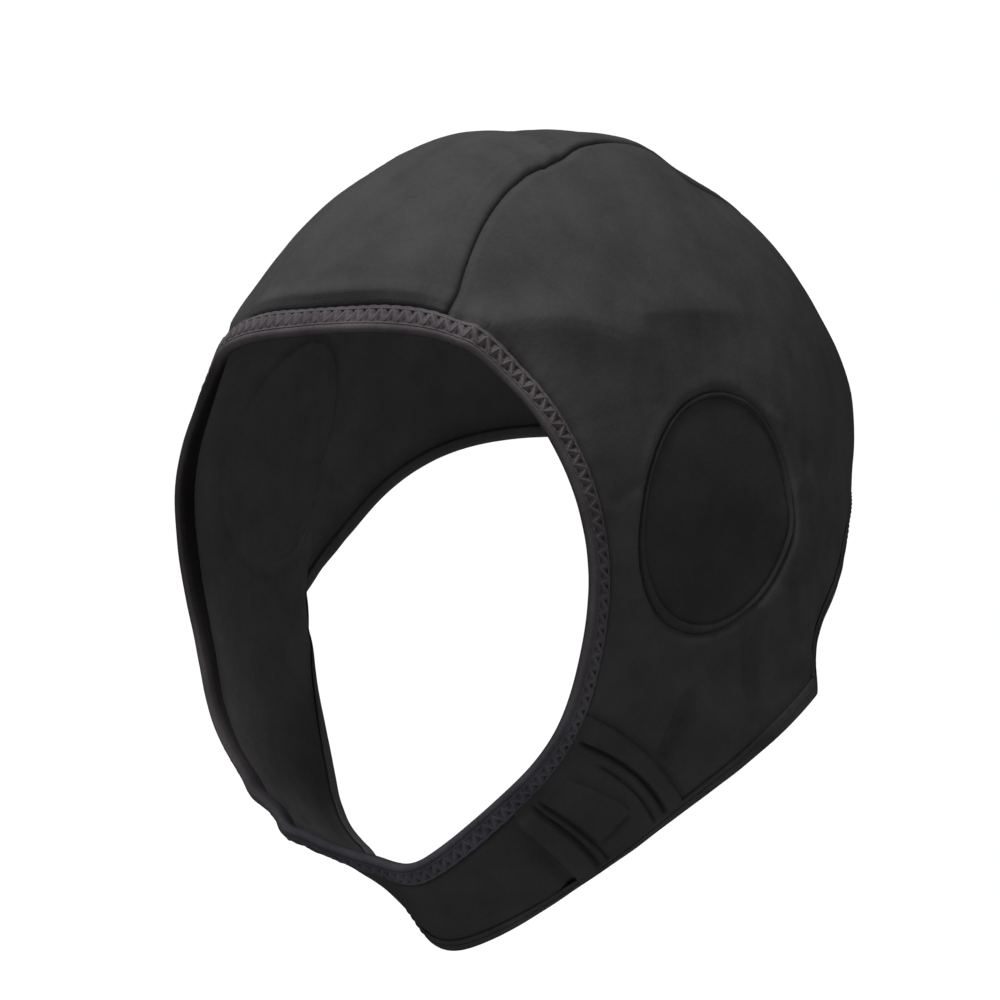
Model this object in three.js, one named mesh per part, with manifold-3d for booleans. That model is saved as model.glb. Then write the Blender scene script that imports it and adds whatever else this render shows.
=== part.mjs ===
// Wrestling hair cover: a close hood of stretch cloth with a bound face opening, a bound
// neck edge, an oval panel over each ear and a chin strap that closes on the left cheek.
// Millimetres, +Z up, the face towards -Y, the wearer's left towards +X.
// The origin is where the inside of the crown sits on top of the head.
import * as THREE from 'three';
import { mergeVertices } from 'three/addons/utils/BufferGeometryUtils.js';
import Module from 'manifold-3d';

const wasm = await Module();
wasm.setup();

// The head form that the outside of the cloth follows, from the form's own centre
const form = {
  halfBreadth: 76.9,
  frontDepth: 97.3,
  backDepth: 101.1,
  crownRise: 95.6,
  chinDrop: 130.2,
  planPower: 2.25,
  sidePower: 1.86,
};

// Walls, gaps and edge bindings
const clothThickness = 1.6;
const pieceGap = 0.3;
const cornerEase = 1.1;
const faceBinding = { width: 5.6, over: 0.8, under: 2.4 };
const neckBinding = { width: 3.8, over: 0.7, under: 2.2 };

// Ribs run from the face edge over the form to the neck edge. One row for each rib, in
// order round the face opening: down the wearer's left side, under the chin, up the right.
const ribs = [
  { name: 'forehead', face: [0, -72.8, 55], crest: [0, 5, 95.5], neck: [0, 99, -16] },
  { name: 'left seam', face: [34, -65, 55.5], crest: [21, 3, 91], neck: [28, 95, -15.5] },
  { name: 'left brow', face: [50, -58.5, 45], crest: [53, 8, 64.5], neck: [60.5, 61, -19.8] },
  { name: 'left temple', face: [62, -54.6, 29.1], crest: [73.5, 0, 22], neck: [87, 13, -48.1] },
  { name: 'left side', face: [69.4, -51.8, -2.7], crest: [73, -25, -24], neck: [78.7, 0.2, -60.5] },
  { name: 'left cheek', face: [62.9, -58.4, -40.9], crest: [63, -33, -57], neck: [60.2, -14, -78] },
  { name: 'left jaw', face: [43.1, -62, -62.9], crest: [48, -48, -78], neck: [44.4, -32.6, -92.7] },
  { name: 'left chin', face: [20.8, -67.3, -81.3], crest: [19, -58.5, -96.5], neck: [17.7, -49.8, -111] },
  { name: 'chin', face: [-0.7, -64.5, -85.6], crest: [0, -57, -97.5], neck: [0, -48.7, -106.3] },
  { name: 'right chin', face: [-22.2, -71, -78.5], crest: [-20.5, -57, -89.5], neck: [-18.6, -41.8, -97.6] },
  { name: 'right jaw', face: [-46.1, -71.6, -57.5], crest: [-47, -51, -76.5], neck: [-45.2, -28.3, -92.9] },
  { name: 'right cheek', face: [-61.2, -63, -36], crest: [-63, -36, -54], neck: [-60, -19.4, -75.1] },
  { name: 'right side', face: [-69.5, -59, -0.8], crest: [-73, -27, -19], neck: [-75.6, -8.3, -56.8] },
  { name: 'right temple', face: [-58.9, -57.3, 27.3], crest: [-73.5, 0, 22], neck: [-88.6, 2.9, -45.2] },
  { name: 'right brow', face: [-47.3, -62, 39.5], crest: [-53, 8, 64.5], neck: [-70.8, 50.9, -10.4] },
  { name: 'right seam', face: [-34, -67.3, 47], crest: [-21, 3, 91], neck: [-27, 95.5, -13.5] },
];
const ribAt = (name) => ribs.findIndex((rib) => rib.name === name);
const leftCorner = ribAt('left temple');
const rightCorner = ribAt('right temple');

// Hollows pressed into the form: where, how wide each way, and how deep (below 0 it swells)
const dents = [
  { name: 'flat of the crown', at: [-6, 14, 93.2], spread: [30, 18, 30], depth: 3.3 },
  { name: 'dip behind the crown', at: [27, 49, 72], spread: [18, 12, 20], depth: 3.1 },
  { name: 'waist above the left corner', at: [84, 30, -38], spread: [14, 18, 16], depth: 3.5 },
  { name: 'waist above the right corner', at: [-80, 20, -36], spread: [14, 18, 16], depth: 1.5 },
  { name: 'hollow under the left ear', at: [72, -6, -42], spread: [14, 7, 13], depth: 2.2 },
  { name: 'hollow under the right ear', at: [-72, -10, -40], spread: [14, 7, 13], depth: 1.7 },
  { name: 'hollow over the brow binding', at: [7, -69, 61.5], spread: [24, 7, 4.5], depth: 1.3 },
  { name: 'swell behind the left ear', at: [50, 76, 12], spread: [20, 22, 18], depth: -1.9 },
  { name: 'swell behind the right ear', at: [-50, 76, 12], spread: [20, 22, 18], depth: -2.4 },
];

// Soft folds of spare cloth: from one point to another, how wide and how high they stand
// (below 0 they sink)
const folds = [
  { name: 'drape behind the left ear', from: [82, 15, -4], to: [84.3, 12, -26], width: 4, height: 1.3 },
  { name: 'drape under the left ear', from: [80.5, 2.5, -24], to: [83.3, 7, -38], width: 4, height: 1.3 },
  { name: 'valley under the left ear', from: [79.6, -1, -26], to: [79.6, -2.5, -42], width: 3.4, height: -1 },
  { name: 'drape before the left ear', from: [74, -20, -30], to: [70, -17, -54], width: 4.5, height: 1.2 },
  { name: 'drape behind the right ear', from: [-82.5, 16, -12], to: [-84, 10, -36], width: 4.5, height: 1.2 },
  { name: 'drape under the right ear', from: [-79.5, -2, -30], to: [-77, -4, -52], width: 4, height: 1.2 },
  { name: 'roll of cloth over the brow', from: [-14, -62, 68], to: [27, -56, 69.5], width: 6, height: 1.1 },
  { name: 'brow crease, left', from: [41, -58, 57.5], to: [62, -25, 48.5], width: 4.5, height: 1.2 },
  { name: 'fold by the right chin', from: [-24, -70, -80], to: [-22, -45, -99], width: 3.5, height: 2.2 },
];

// How far each crown seam strays outward from its rib, in ribs, at each share of the way back
const leftSway = [
  { along: 0, stray: 0 },
  { along: 0.07, stray: 0.13 },
  { along: 0.43, stray: 0.125 },
  { along: 0.62, stray: -0.18 },
  { along: 0.74, stray: -0.12 },
  { along: 1, stray: 0 },
];
const rightSway = [
  { along: 0, stray: 0 },
  { along: 0.12, stray: -0.03 },
  { along: 0.3, stray: 0.1 },
  { along: 0.44, stray: 0.09 },
  { along: 0.62, stray: -0.12 },
  { along: 1, stray: 0 },
];

// The oval over each ear, seen from the side: its tilt leans the top back
const ear = { y: -9.7, z: 3.4, halfLength: 23.5, halfHeight: 30.7, tilt: -0.45, recess: 0.7, sides: 28 };
const earShiftRight = -3;

// The closure on the left cheek, measured along the ribs' order
const closure = {
  top: ribAt('left cheek') - 0.13,
  bottom: ribAt('left jaw') + 0.02,
  panelEnd: ribAt('left cheek') + 0.45,
  padTop: ribAt('left cheek') + 0.52,
  padBottom: ribAt('left cheek') + 0.86,
  padThickness: 0.7,
  tabThickness: 1.1,
  hemWidth: 6,
  hemRise: 0.7,
  edgeSlope: 4,
};
const rightStrapSeam = ribAt('right chin') + 0.12;

const fabric = (name, color, roughness) =>
  new THREE.MeshStandardMaterial({ name, color, roughness, metalness: 0 });
const materials = {
  panel: fabric('stretch cloth', 0x2b2b2d, 0.62),
  ear: fabric('thin stretch cloth', 0x222224, 0.7),
  binding: fabric('elastic binding', 0x37333a, 0.8),
  strap: fabric('strap cloth', 0x29292b, 0.66),
  tab: fabric('closure cloth', 0x2f2f31, 0.66),
  hook: fabric('hook pad', 0x1c1c1e, 0.9),
};

const vector = (values) => new THREE.Vector3(...values);

// Distance from the form's centre to its surface along a direction
function formRadius(direction) {
  const depth = direction.y < 0 ? form.frontDepth : form.backDepth;
  const height = direction.z > 0 ? form.crownRise : form.chinDrop;
  const plan =
    Math.abs(direction.x / form.halfBreadth) ** form.planPower +
    Math.abs(direction.y / depth) ** form.planPower;
  const side = Math.abs(direction.z / height) ** form.sidePower;
  return (plan ** (form.sidePower / form.planPower) + side) ** (-1 / form.sidePower);
}

// How far out a point stands from the form, as a share of the form's radius there
function reach(point) {
  const length = point.length();
  return length / formRadius(point.clone().divideScalar(length));
}

// A smooth curve through points one step apart: its bends are found by relaxation
function smoothCurve(points, closed) {
  const count = points.length;
  const bends = points.map(() => new THREE.Vector3());
  const sweeps = 40;
  const first = closed ? 0 : 1;
  const last = closed ? count : count - 1;
  for (let sweep = 0; sweep < sweeps; sweep += 1) {
    for (let i = first; i < last; i += 1) {
      const before = (i - 1 + count) % count;
      const after = (i + 1) % count;
      bends[i]
        .copy(points[before])
        .addScaledVector(points[i], -2)
        .add(points[after])
        .multiplyScalar(6)
        .sub(bends[before])
        .sub(bends[after])
        .divideScalar(4);
    }
  }
  return (position) => {
    const start = closed ? Math.floor(position) : Math.min(Math.floor(position), count - 2);
    const share = position - start;
    const rest = 1 - share;
    const i = ((start % count) + count) % count;
    const j = (i + 1) % count;
    return new THREE.Vector3()
      .addScaledVector(points[i], rest)
      .addScaledVector(points[j], share)
      .addScaledVector(bends[i], (rest ** 3 - rest) / 6)
      .addScaledVector(bends[j], (share ** 3 - share) / 6);
  };
}

const faceCurve = smoothCurve(ribs.map((rib) => vector(rib.face)), true);
const crestCurve = smoothCurve(ribs.map((rib) => vector(rib.crest)), true);

// The neck edge turns sharply behind each ear, so it is two curves that meet there
const neckPoints = ribs.map((rib) => vector(rib.neck));
const jawCurve = smoothCurve(neckPoints.slice(leftCorner, rightCorner + 1), false);
const napePoints = [...neckPoints.slice(rightCorner), ...neckPoints.slice(0, leftCorner + 1)];
const napeCurve = smoothCurve(napePoints, false);

function neckCurve(position) {
  const rib = ((position % ribs.length) + ribs.length) % ribs.length;
  if (rib >= leftCorner && rib <= rightCorner) {
    return jawCurve(rib - leftCorner);
  }
  return napeCurve((rib < leftCorner ? rib + ribs.length : rib) - rightCorner);
}

// The cloth without its dents and folds: rib counts round the hood, along runs 0 to 1
function smoothPoint(rib, along) {
  const corners = [faceCurve(rib), crestCurve(rib), neckCurve(rib)];
  const weights = [
    (1 - along) * (1 - 2 * along),
    4 * along * (1 - along),
    along * (2 * along - 1),
  ];
  const direction = new THREE.Vector3();
  let stand = 0;
  corners.forEach((corner, i) => {
    direction.addScaledVector(corner, weights[i]);
    stand += weights[i] * reach(corner);
  });
  direction.normalize();
  return direction.clone().multiplyScalar(formRadius(direction) * stand);
}

// Height of the dents and folds over the smooth cloth
function relief(point) {
  let height = 0;
  for (const dent of dents) {
    const off = point.clone().sub(vector(dent.at)).divide(vector(dent.spread));
    height -= dent.depth * Math.exp(-off.lengthSq());
  }
  for (const fold of folds) {
    const line = new THREE.Line3(vector(fold.from), vector(fold.to));
    const nearest = line.closestPointToPoint(point, true, new THREE.Vector3());
    height += fold.height * Math.exp(-((nearest.distanceTo(point) / fold.width) ** 2));
  }
  return height;
}

const slightly = 0.01;

function steps(rib, along) {
  const low = Math.max(along - slightly, 0);
  const high = Math.min(along + slightly, 1);
  const around = smoothPoint(rib + slightly, along).sub(smoothPoint(rib - slightly, along));
  const inward = smoothPoint(rib, high).sub(smoothPoint(rib, low));
  return {
    around: around.divideScalar(2 * slightly),
    inward: inward.divideScalar(high - low),
  };
}

// A point of the cloth, raised from its outer face by so many millimetres
function clothPoint(rib, along, raise) {
  const point = smoothPoint(rib, along);
  const step = steps(rib, along);
  const outward = step.around.cross(step.inward).normalize();
  return point.clone().addScaledVector(outward, relief(point) + raise);
}

function isCorner(rib) {
  const position = (rib + ribs.length) % ribs.length;
  return [leftCorner, rightCorner].some((turn) => Math.abs(position - turn) < slightly);
}

// The share of a rib that a band of this width takes up, square to the edge it follows.
// At a corner of the neck edge the wider of the two sides counts.
function bandShare(rib, along, width) {
  const mitred = along > 0.5 && isCorner(rib);
  const places = mitred ? [rib - 2 * slightly, rib + 2 * slightly] : [rib];
  const shares = places.map((place) => {
    const step = steps(place, along);
    const area = step.around.clone().cross(step.inward).length();
    return (width * step.around.length()) / area;
  });
  return Math.max(...shares);
}

// A sideways gap in millimetres as a change of rib
function gapShare(rib, along, width) {
  return width / steps(rib, along).around.length();
}

// Cloth runs between the two bindings, a gap clear of each and of the mitred corners
function clothSpan(rib) {
  const neckGap = isCorner(rib) ? pieceGap + cornerEase : pieceGap;
  return [
    bandShare(rib, 0, faceBinding.width + pieceGap),
    1 - bandShare(rib, 1, neckBinding.width + neckGap),
  ];
}

function seamStray(sway, along) {
  const next = sway.findIndex((row) => row.along >= along);
  if (next <= 0) {
    return 0;
  }
  const before = sway[next - 1];
  const after = sway[next];
  const share = (along - before.along) / (after.along - before.along);
  const eased = share * share * (3 - 2 * share);
  return before.stray + (after.stray - before.stray) * eased;
}

// A closed mesh from a grid of outer points and the matching grid of inner points
function slabGeometry(outer, inner) {
  const rows = outer.length;
  const columns = outer[0].length;
  const positions = [...outer.flat(), ...inner.flat()].flatMap((point) => point.toArray());
  const top = (i, j) => i * columns + j;
  const under = (i, j) => rows * columns + i * columns + j;
  const faces = [];
  const quad = (a, b, c, d) => faces.push(a, b, c, a, c, d);
  for (let i = 0; i + 1 < rows; i += 1) {
    for (let j = 0; j + 1 < columns; j += 1) {
      quad(top(i, j), top(i + 1, j), top(i + 1, j + 1), top(i, j + 1));
      quad(under(i, j), under(i, j + 1), under(i + 1, j + 1), under(i + 1, j));
    }
    quad(top(i + 1, 0), top(i, 0), under(i, 0), under(i + 1, 0));
    quad(top(i, columns - 1), top(i + 1, columns - 1), under(i + 1, columns - 1), under(i, columns - 1));
  }
  for (let j = 0; j + 1 < columns; j += 1) {
    quad(top(0, j), top(0, j + 1), under(0, j + 1), under(0, j));
    quad(top(rows - 1, j + 1), top(rows - 1, j), under(rows - 1, j), under(rows - 1, j + 1));
  }
  const geometry = new THREE.BufferGeometry();
  geometry.setAttribute('position', new THREE.Float32BufferAttribute(positions, 3));
  geometry.setIndex(faces);
  return geometry;
}

const spread = (count, from, to) =>
  Array.from({ length: count + 1 }, (_, i) => from + ((to - from) * i) / count);

// The rib of a column of cloth, a share across from side A to side B, at each along
const columnRib = (sideA, sideB, across) => (along) =>
  sideA(along) + (sideB(along) - sideA(along)) * across;

// Where a column starts and ends. Its rib changes along it, so each end takes two steps.
const columnSpan = (ribOf, span) => [0, 1].map((end) => span(ribOf(span(ribOf(end))[end]))[end]);

// A piece of cloth between two ribs. sideA and sideB give each edge's rib, stops are shares
// across from A to B, and layer gives how far its two faces stand from the outer cloth at a
// rib, so many millimetres in from the nearer of the piece's other two edges.
function clothPiece({ sideA, sideB, stops, alongSteps, layer, span = clothSpan }) {
  const outer = [];
  const inner = [];
  for (const across of stops) {
    const outerRow = [];
    const innerRow = [];
    const [from, to] = columnSpan(columnRib(sideA, sideB, across), span);
    for (const along of spread(alongSteps, from, to)) {
      const ribA = sideA(along) + gapShare(sideA(along), along, pieceGap / 2);
      const ribB = sideB(along) - gapShare(sideB(along), along, pieceGap / 2);
      const rib = ribA + (ribB - ribA) * across;
      const fromEdge = Math.min(along - from, to - along) / bandShare(rib, along, 1);
      const faces = layer(rib, fromEdge);
      outerRow.push(clothPoint(rib, along, faces.outer));
      innerRow.push(clothPoint(rib, along, faces.inner));
    }
    outer.push(outerRow);
    inner.push(innerRow);
  }
  return slabGeometry(outer, inner);
}

const plainLayer = () => ({ outer: 0, inner: -clothThickness });

// A closed ring round an edge of the hood: the section's points are [in from edge, raise]
function bindingRing(along, binding, stops) {
  const turn = 0.5;
  const { width, over, under } = binding;
  const section = [
    [turn, -under],
    [0, -under + 2 * turn],
    [0, over - 2 * turn],
    [turn, over],
    [width / 2, over + turn / 3],
    [width - turn, over],
    [width, over - 2 * turn],
    [width, -under + 2 * turn],
    [width - turn, -under],
  ];
  const way = along === 0 ? 1 : -1;
  const positions = [];
  for (const rib of stops) {
    const millimetre = bandShare(rib, along, 1);
    for (const [inFromEdge, raise] of section) {
      const point = clothPoint(rib, along + way * inFromEdge * millimetre, raise);
      positions.push(...point.toArray());
    }
  }
  const faces = [];
  const count = section.length;
  stops.forEach((_, i) => {
    const next = (i + 1) % stops.length;
    section.forEach((__, j) => {
      const beside = (j + 1) % count;
      const corners = [i * count + j, next * count + j, next * count + beside, i * count + beside];
      const [a, b, c, d] = way === 1 ? corners : corners.reverse();
      faces.push(a, b, c, a, c, d);
    });
  });
  const geometry = new THREE.BufferGeometry();
  geometry.setAttribute('position', new THREE.Float32BufferAttribute(positions, 3));
  geometry.setIndex(faces);
  return geometry;
}

function solidFrom(geometry) {
  const bare = geometry.clone();
  bare.deleteAttribute('normal');
  bare.deleteAttribute('uv');
  const merged = mergeVertices(bare, 1e-4);
  return new wasm.Manifold(
    new wasm.Mesh({
      numProp: 3,
      vertProperties: Float32Array.from(merged.attributes.position.array),
      triVerts: Uint32Array.from(merged.index.array),
    }),
  );
}

function geometryFrom(solid) {
  const mesh = solid.getMesh();
  const geometry = new THREE.BufferGeometry();
  geometry.setAttribute('position', new THREE.Float32BufferAttribute(mesh.vertProperties, 3));
  geometry.setIndex([...mesh.triVerts]);
  return geometry;
}

// A bar of the ear's oval section that runs sideways through one ear (side is 1 or -1)
function earBar(side, shrink) {
  const middle = ear.y + (side < 0 ? earShiftRight : 0);
  const oval = new THREE.Shape();
  const length = ear.halfLength - shrink;
  const height = ear.halfHeight - shrink;
  oval.absellipse(middle, ear.z, length, height, 0, 2 * Math.PI, false, ear.tilt);
  const barLength = 60;
  const bar = new THREE.ExtrudeGeometry(oval, {
    depth: barLength,
    bevelEnabled: false,
    curveSegments: ear.sides,
  });
  const lieAlongX = new THREE.Matrix4().makeBasis(
    new THREE.Vector3(0, 1, 0),
    new THREE.Vector3(0, 0, 1),
    new THREE.Vector3(1, 0, 0),
  );
  const start = side * form.halfBreadth - barLength / 2;
  return solidFrom(bar.applyMatrix4(lieAlongX).translate(start, 0, 0));
}

// Shares across a piece, with a stop where a rib meets the neck edge's corner
function stopsThrough(from, corner, to, perRib) {
  const turn = (corner - from) / (to - from);
  const before = spread(Math.round((corner - from) * perRib), 0, turn);
  const after = spread(Math.round((to - corner) * perRib), turn, 1);
  return [...before, ...after.slice(1)];
}

const leftSeam = ribAt('left seam');
const rightSeam = ribAt('right seam');
const leftSeamAt = (along) => leftSeam + seamStray(leftSway, along);
const rightSeamAt = (along) => rightSeam - seamStray(rightSway, along);
const at = (rib) => () => rib;

// The big panels share their steps along the ribs, so their facets match at the seams
const panelSteps = 22;
const stopsPerRib = 5;

const centre = {
  sideA: (along) => rightSeamAt(along) - ribs.length,
  sideB: leftSeamAt,
  stops: spread(8, 0, 1),
};
const left = {
  sideA: leftSeamAt,
  sideB: at(closure.panelEnd),
  stops: stopsThrough(leftSeam, leftCorner, closure.panelEnd, stopsPerRib),
};
const strap = {
  sideA: at(closure.panelEnd),
  sideB: at(rightStrapSeam),
  stops: spread(16, 0, 1),
};
const right = {
  sideA: at(rightStrapSeam),
  sideB: rightSeamAt,
  stops: stopsThrough(rightStrapSeam, rightCorner, rightSeam, stopsPerRib),
};

const centrePanel = clothPiece({ ...centre, alongSteps: panelSteps, layer: plainLayer });
const leftSide = clothPiece({ ...left, alongSteps: panelSteps, layer: plainLayer });
const rightSide = clothPiece({ ...right, alongSteps: panelSteps, layer: plainLayer });
const chinStrap = clothPiece({ ...strap, alongSteps: 4, layer: plainLayer });

// The ear panel is thinner cloth, set a little deeper than the side panel round it
const earCloth = 1.0;
const earLayer = () => ({ outer: -ear.recess, inner: -ear.recess - earCloth });

function earPanel(side, fromRib, toRib) {
  const patch = clothPiece({
    sideA: at(fromRib),
    sideB: at(toRib),
    stops: spread(10, 0, 1),
    alongSteps: 10,
    layer: earLayer,
  });
  return geometryFrom(solidFrom(patch).intersect(earBar(side, pieceGap)));
}

const holed = (panel, side) => geometryFrom(solidFrom(panel).subtract(earBar(side, 0)));

// The pad lies under the tab, clear of the bindings
const padInset = 6;
const padSpan = (rib) => {
  const [from, to] = clothSpan(rib);
  const inset = bandShare(rib, 0, padInset);
  return [from + inset, to - inset];
};

const hookPad = clothPiece({
  sideA: at(closure.padTop),
  sideB: at(closure.padBottom),
  stops: spread(3, 0, 1),
  alongSteps: 4,
  layer: () => ({ outer: pieceGap + closure.padThickness, inner: pieceGap }),
  span: padSpan,
});

// The tab lies on the side panel at its top, rides over the pad further down, and slopes
// down to the bindings at its edges. A raised hem crosses it at each end.
function tabLayer(rib, fromEdge) {
  const climb = THREE.MathUtils.smoothstep(rib, closure.top, closure.padTop);
  const inside = THREE.MathUtils.smoothstep(fromEdge, 0, closure.edgeSlope);
  const inner = pieceGap + climb * inside * (closure.padThickness + pieceGap);
  const fromEnd = Math.min(rib - closure.top, closure.bottom - rib);
  const hem = closure.hemWidth / steps(rib, 0.5).around.length();
  const hemmed = 1 - THREE.MathUtils.smoothstep(fromEnd, hem, hem * 1.25);
  return { outer: inner + closure.tabThickness + hemmed * inside * closure.hemRise, inner };
}

const closureTab = clothPiece({
  sideA: at(closure.top),
  sideB: at(closure.bottom),
  stops: [0, 0.08, 0.17, 0.21, 0.35, 0.5, 0.65, 0.79, 0.83, 0.92, 1],
  alongSteps: 10,
  layer: tabLayer,
});

// A binding turns where the cloth beside it does: end is 0 at the face and 1 at the neck
function ringStops(end) {
  return [centre, left, strap, right].flatMap(({ sideA, sideB, stops }) =>
    stops.slice(1).map((across) => {
      const ribOf = columnRib(sideA, sideB, across);
      return ribOf(columnSpan(ribOf, clothSpan)[end]);
    }),
  );
}

const pieces = [
  { name: 'centre_panel', geometry: centrePanel, material: materials.panel },
  { name: 'left_side_panel', geometry: holed(leftSide, 1), material: materials.panel },
  { name: 'right_side_panel', geometry: holed(rightSide, -1), material: materials.panel },
  { name: 'left_ear_panel', geometry: earPanel(1, 2.2, 4.9), material: materials.ear },
  { name: 'right_ear_panel', geometry: earPanel(-1, 11.1, 13.8), material: materials.ear },
  { name: 'face_binding', geometry: bindingRing(0, faceBinding, ringStops(0)), material: materials.binding },
  { name: 'neck_binding', geometry: bindingRing(1, neckBinding, ringStops(1)), material: materials.binding },
  { name: 'chin_strap', geometry: chinStrap, material: materials.strap },
  { name: 'closure_tab', geometry: closureTab, material: materials.tab },
  { name: 'hook_pad', geometry: hookPad, material: materials.hook },
];

// The form's centre lies this far below the head's top inside the crown
const seatHeight = 92.3;

const hood = new THREE.Group();
hood.name = 'wrestling_hair_cover';
hood.position.z = -seatHeight;
for (const piece of pieces) {
  const mesh = new THREE.Mesh(piece.geometry, piece.material);
  mesh.name = piece.name;
  hood.add(mesh);
}

export default hood;
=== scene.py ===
# Wrestling hair cover: cloth panels, bindings, seams, stitching and the chin closure,
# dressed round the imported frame. Points are worked out in millimetres from the centre of
# the head form and placed in metres in the frame.
import math

import bpy
import numpy as np
from mathutils import Matrix


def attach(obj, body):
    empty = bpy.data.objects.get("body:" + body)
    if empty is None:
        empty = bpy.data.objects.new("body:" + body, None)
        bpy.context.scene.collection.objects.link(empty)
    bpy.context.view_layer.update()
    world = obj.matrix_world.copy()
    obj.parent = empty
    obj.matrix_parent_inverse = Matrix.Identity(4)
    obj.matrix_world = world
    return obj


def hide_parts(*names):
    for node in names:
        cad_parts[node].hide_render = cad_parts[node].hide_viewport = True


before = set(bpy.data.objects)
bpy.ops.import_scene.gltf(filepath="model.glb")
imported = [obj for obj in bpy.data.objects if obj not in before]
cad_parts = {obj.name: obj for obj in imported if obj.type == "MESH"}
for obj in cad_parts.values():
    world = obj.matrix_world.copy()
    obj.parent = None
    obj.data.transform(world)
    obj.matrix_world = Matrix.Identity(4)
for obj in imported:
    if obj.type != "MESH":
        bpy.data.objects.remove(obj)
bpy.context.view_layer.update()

MM = 0.001
SEAT_HEIGHT = 92.3  # the form's centre lies this far below the frame's origin

# Camera: the photograph's angle and distance, measured from the form's centre
AZIMUTH, ELEVATION, ROLL = math.radians(42.13), math.radians(13.73), math.radians(-3.29)
CAMERA_DISTANCE = 1217.6
PIXELS_PER_MM = 3.8
CENTRE_PIXEL = (518.9, 484.1)
IMAGE_SIZE = 1000
SENSOR = 36.0


def new_object(name, data, *axes_and_place):
    """An object in the scene, turned to three axes and put in its place where they are given."""
    thing = bpy.data.objects.new(name, data)
    if axes_and_place:
        thing.matrix_world = Matrix([*np.transpose(axes_and_place).tolist(), (0, 0, 0, 1)])
    bpy.context.scene.collection.objects.link(thing)
    return thing


def make_camera():
    across = np.array([math.cos(AZIMUTH), math.sin(AZIMUTH), 0.0])
    back = np.array([math.sin(AZIMUTH) * math.cos(ELEVATION),
                     -math.cos(AZIMUTH) * math.cos(ELEVATION), math.sin(ELEVATION)])
    upward = np.cross(back, across)
    right = math.cos(ROLL) * across + math.sin(ROLL) * upward
    upward = -math.sin(ROLL) * across + math.cos(ROLL) * upward
    data = bpy.data.cameras.new("camera")
    data.sensor_width = SENSOR
    data.lens = PIXELS_PER_MM * CAMERA_DISTANCE / IMAGE_SIZE * SENSOR
    data.shift_x = (IMAGE_SIZE / 2 - CENTRE_PIXEL[0]) / IMAGE_SIZE
    data.shift_y = (CENTRE_PIXEL[1] - IMAGE_SIZE / 2) / IMAGE_SIZE
    place = (back * CAMERA_DISTANCE - np.array([0, 0, SEAT_HEIGHT])) * MM
    bpy.context.scene.camera = new_object("camera", data, right, upward, back, place)


make_camera()

# The head form that the outside of the cloth follows
HALF_BREADTH, FRONT_DEPTH, BACK_DEPTH = 76.9, 97.3, 101.1
CROWN_RISE, CHIN_DROP = 95.6, 130.2
PLAN_POWER, SIDE_POWER = 2.25, 1.86

# Ribs round the hood: face edge, crest and neck edge of each
RIBS = {
    "forehead": ((0, -72.8, 55), (0, 5, 95.5), (0, 99, -16)),
    "left seam": ((34, -65, 55.5), (21, 3, 91), (28, 95, -15.5)),
    "left brow": ((50, -58.5, 45), (53, 8, 64.5), (60.5, 61, -19.8)),
    "left temple": ((62, -54.6, 29.1), (73.5, 0, 22), (87, 13, -48.1)),
    "left side": ((69.4, -51.8, -2.7), (73, -25, -24), (78.7, 0.2, -60.5)),
    "left cheek": ((62.9, -58.4, -40.9), (63, -33, -57), (60.2, -14, -78)),
    "left jaw": ((43.1, -62, -62.9), (48, -48, -78), (44.4, -32.6, -92.7)),
    "left chin": ((20.8, -67.3, -81.3), (19, -58.5, -96.5), (17.7, -49.8, -111)),
    "chin": ((-0.7, -64.5, -85.6), (0, -57, -97.5), (0, -48.7, -106.3)),
    "right chin": ((-22.2, -71, -78.5), (-20.5, -57, -89.5), (-18.6, -41.8, -97.6)),
    "right jaw": ((-46.1, -71.6, -57.5), (-47, -51, -76.5), (-45.2, -28.3, -92.9)),
    "right cheek": ((-61.2, -63, -36), (-63, -36, -54), (-60, -19.4, -75.1)),
    "right side": ((-69.5, -59, -0.8), (-73, -27, -19), (-75.6, -8.3, -56.8)),
    "right temple": ((-58.9, -57.3, 27.3), (-73.5, 0, 22), (-88.6, 2.9, -45.2)),
    "right brow": ((-47.3, -62, 39.5), (-53, 8, 64.5), (-70.8, 50.9, -10.4)),
    "right seam": ((-34, -67.3, 47), (-21, 3, 91), (-27, 95.5, -13.5)),
}
RIB_NAMES = list(RIBS)
ROUND = len(RIBS)
LEFT_SEAM, RIGHT_SEAM = RIB_NAMES.index("left seam"), RIB_NAMES.index("right seam")
LEFT_CORNER, RIGHT_CORNER = RIB_NAMES.index("left temple"), RIB_NAMES.index("right temple")
TAB_TOP, TAB_BOTTOM = 4.87, 6.02  # ribs where the closure tab starts and ends
PANEL_END = 5.45  # rib where the left side ends under the tab
STRAP_SEAM = 9.12  # rib of the strap's seam with the right side
CLOTH = 1.2  # thickness of the visible cloth
FACE_WIDTH, NECK_WIDTH = 5.6, 3.8  # of the two bindings

# Hollows (depth below 0 swells): place, spread and depth
DENTS = [
    ((-6, 14, 93.2), (30, 18, 30), 3.3),
    ((27, 49, 72), (18, 12, 20), 3.1),
    ((84, 30, -38), (14, 18, 16), 3.5),
    ((-80, 20, -36), (14, 18, 16), 1.5),
    ((72, -6, -42), (14, 7, 13), 2.2),
    ((-72, -10, -40), (14, 7, 13), 1.7),
    ((7, -69, 61.5), (24, 7, 4.5), 1.3),
    ((50, 76, 12), (20, 22, 18), -1.9),
    ((-50, 76, 12), (20, 22, 18), -2.4),
    ((73.2, -18, -43.5), (9, 4.5, 5), 0.8),
    ((13.4, -8.1, 93.2), (5, 3.5, 5), 1.1),
    ((77.2, 25.2, 10.1), (4, 1.8, 3), 0.8),
]
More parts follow.
